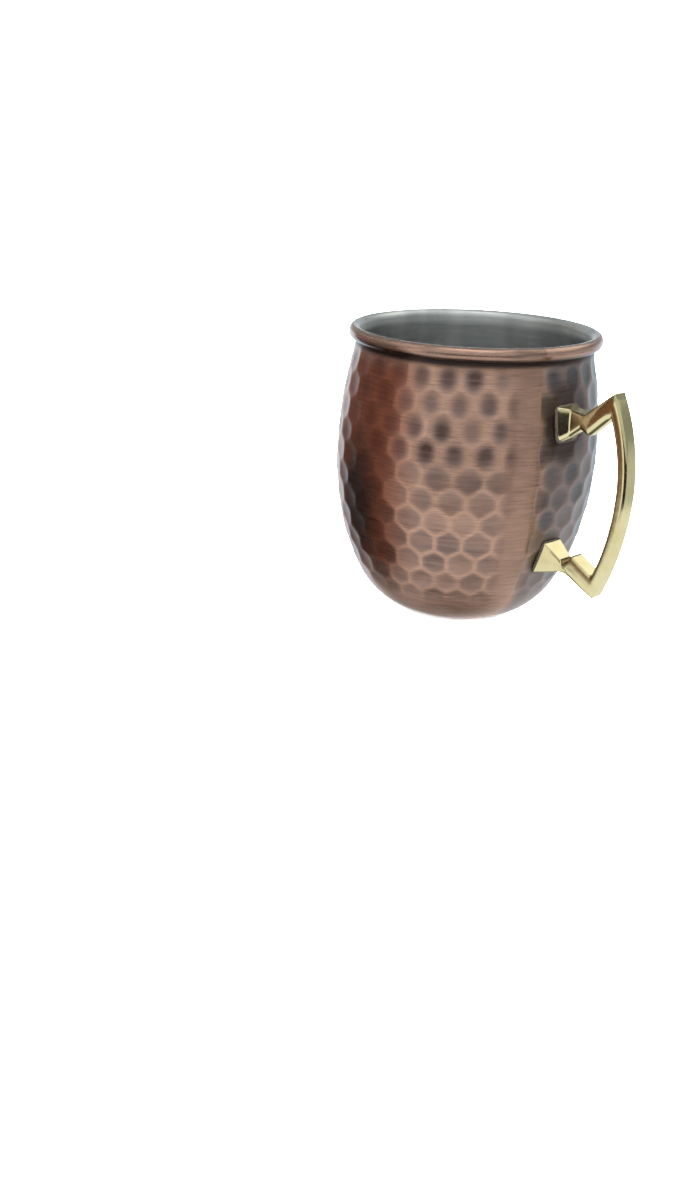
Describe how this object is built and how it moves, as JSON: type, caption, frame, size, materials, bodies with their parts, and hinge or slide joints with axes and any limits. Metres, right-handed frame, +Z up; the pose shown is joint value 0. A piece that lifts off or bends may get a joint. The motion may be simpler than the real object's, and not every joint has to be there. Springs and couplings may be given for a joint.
{
  "type": "copper mug",
  "caption": "Barrel-shaped hammered copper mug with a rolled rim, a brushed steel liner and a cast brass handle with pointed corners.",
  "frame": {"origin": "middle of the flat base, on the surface that the mug stands on", "axes": "+Z up along the mug's axis, +X from the axis out through the handle, +Y across the handle"},
  "size_m": [0.1176, 0.0922, 0.0992],
  "materials": {
    "copper_shell": "hammered antique copper, brushed around",
    "steel_liner": "brushed stainless steel",
    "brass_handle": "polished cast brass",
    "braze": "dull brazing filler"
  },
  "bodies": {
    "root": {"copper_shell": "copper_shell", "steel_liner": "steel_liner", "brass_handle": "brass_handle", "upper_braze": "braze", "lower_braze": "braze"}
  },
  "joints": []
}
